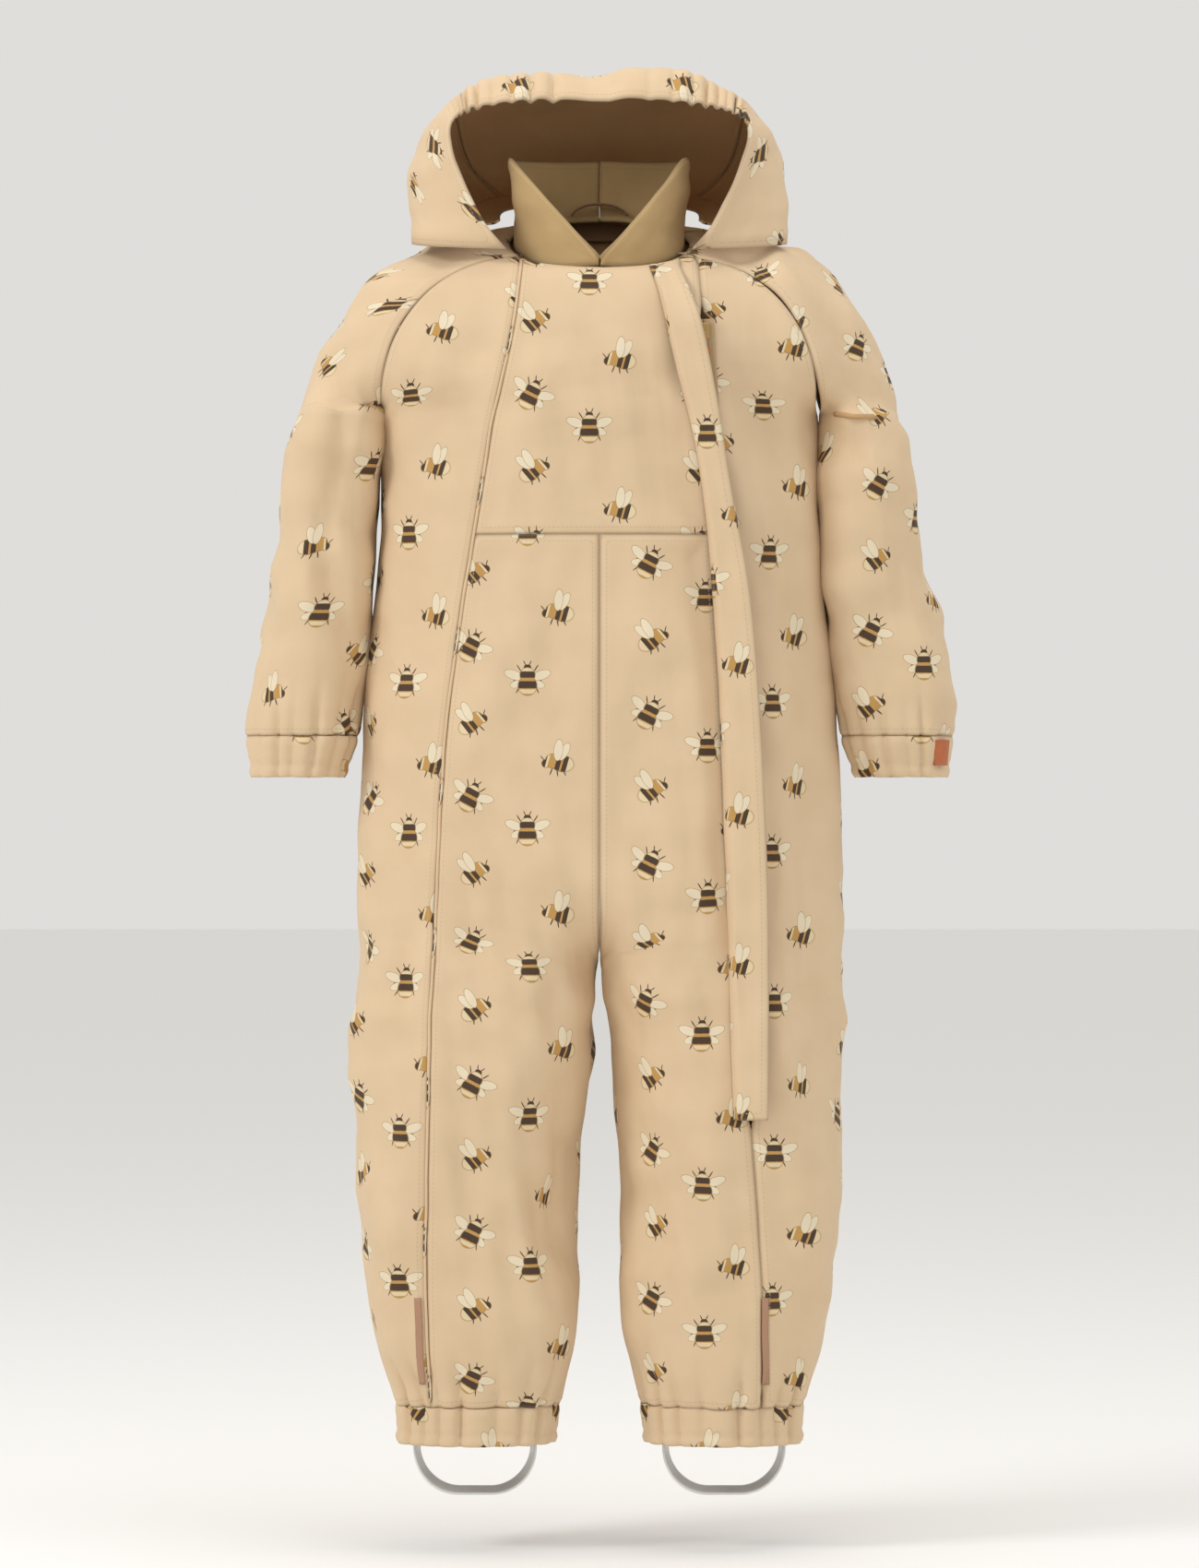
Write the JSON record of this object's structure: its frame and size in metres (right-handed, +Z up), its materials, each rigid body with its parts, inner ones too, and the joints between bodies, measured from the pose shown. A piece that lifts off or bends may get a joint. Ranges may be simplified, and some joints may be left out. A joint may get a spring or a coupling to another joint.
{
  "type": "hooded rain coverall",
  "caption": "Child's hooded one-piece coverall with raglan sleeves, slanting storm flap over a zip, gathered cuffs and foot straps.",
  "frame": {"origin": "where a hook bears in the hang loop at the back of the neck", "axes": "+X the wearer's left, +Y the wearer's back, +Z up"},
  "size_m": [0.5316, 0.1997, 1.0711],
  "materials": {
    "print": "matte printed soft shell cloth",
    "cuff_cloth": "matte gathered cloth over elastic",
    "collar_jersey": "brushed jersey",
    "neck_facing": "matte brown facing",
    "leather": "smooth tan leather",
    "reflective": "satin reflective tape",
    "clear_strap": "frosted flexible plastic",
    "zip_tape": "woven tape",
    "zip_teeth": "satin",
    "zip_metal": "satin antique brass"
  },
  "bodies": {
    "torso": {"front_yoke": "print", "front_panel_right": "print", "front_panel_left": "print", "side_front_right": "print", "side_front_left": "print", "back_panel_right": "print", "back_panel_left": "print", "back_yoke": "print", "raglan_shoulder_right": "print", "raglan_shoulder_left": "print", "shoulder_fold_right": "print", "shoulder_fold_left": "print", "knee_fold_right": "print", "knee_fold_left": "print", "piping_cord": "print", "flap_fold": "print", "hood_neck_fold": "print", "collar_right": "collar_jersey", "collar_left": "collar_jersey", "neck_facing": "neck_facing", "hang_loop": "neck_facing", "zip_tape_right": "zip_tape", "zip_tape_left": "zip_tape", "zip_teeth_right": "zip_teeth", "zip_teeth_left": "zip_teeth", "zip_bottom_stop": "zip_metal"},
    "sleeve_right": {"sleeve_right": "print", "sleeve_cuff_right": "cuff_cloth"},
    "sleeve_left": {"sleeve_left": "print", "sleeve_cuff_left": "cuff_cloth", "cuff_label": "leather"},
    "shin_right": {"lower_leg_right": "print", "leg_cuff_right": "cuff_cloth", "reflective_strip_right": "reflective", "strap_button_inner_right": "clear_strap", "strap_button_outer_right": "clear_strap"},
    "shin_left": {"lower_leg_left": "print", "leg_cuff_left": "cuff_cloth", "reflective_strip_left": "reflective", "strap_button_inner_left": "clear_strap", "strap_button_outer_left": "clear_strap"},
    "strap_right": {"foot_strap_right": "clear_strap"},
    "strap_left": {"foot_strap_left": "clear_strap"},
    "hood": {"hood_side_right": "print", "hood_side_left": "print", "hood_centre": "print", "hood_brim": "cuff_cloth"},
    "flap": {"storm_flap": "print"},
    "slider": {"zip_slider": "zip_metal"},
    "pull": {"zip_puller": "zip_metal", "zip_pull_fob": "leather"}
  },
  "joints": [
    {"name": "sleeve_raise_right", "type": "hinge", "parent": "torso", "child": "sleeve_right", "pos_m": [-0.1654, -0.037, -0.163], "axis": [0, 1, 0], "range_deg": [0, 85], "deforming": ["shoulder_fold_right"]},
    {"name": "knee_bend_right", "type": "hinge", "parent": "torso", "child": "shin_right", "pos_m": [-0.0965, -0.04, -0.75], "axis": [1, 0, 0], "range_deg": [0, 70], "deforming": ["knee_fold_right"]},
    {"name": "foot_strap_swing_right", "type": "hinge", "parent": "shin_right", "child": "strap_right", "pos_m": [-0.094, -0.037, -0.93], "axis": [1, 0, 0], "range_deg": [-60, 60]},
    {"name": "sleeve_raise_left", "type": "hinge", "parent": "torso", "child": "sleeve_left", "pos_m": [0.1654, -0.037, -0.163], "axis": [0, -1, 0], "range_deg": [0, 85], "deforming": ["shoulder_fold_left"]},
    {"name": "knee_bend_left", "type": "hinge", "parent": "torso", "child": "shin_left", "pos_m": [0.0965, -0.04, -0.75], "axis": [1, 0, 0], "range_deg": [0, 70], "deforming": ["knee_fold_left"]},
    {"name": "foot_strap_swing_left", "type": "hinge", "parent": "shin_left", "child": "strap_left", "pos_m": [0.094, -0.037, -0.93], "axis": [1, 0, 0], "range_deg": [-60, 60]},
    {"name": "hood_tilt", "type": "hinge", "parent": "torso", "child": "hood", "pos_m": [0, 0.023, -0.002], "axis": [-1, 0, 0], "range_deg": [0, 95], "deforming": ["hood_neck_fold"]},
    {"name": "storm_flap_open", "type": "hinge", "parent": "torso", "child": "flap", "pos_m": [0.058, -0.1241, -0.062], "axis": [0.0772, -0.0047, -0.997], "range_deg": [0, 100], "deforming": ["flap_fold"]},
    {"name": "zip_slide", "type": "slide", "parent": "torso", "child": "slider", "axis": [0.0593, -0.0047, -0.9982], "range_m": [0, 0.571]},
    {"name": "pull_swing", "type": "hinge", "parent": "slider", "child": "pull", "pos_m": [0.0777, -0.1227, -0.108], "axis": [0, -1, 0], "range_deg": [0, 30]}
  ]
}
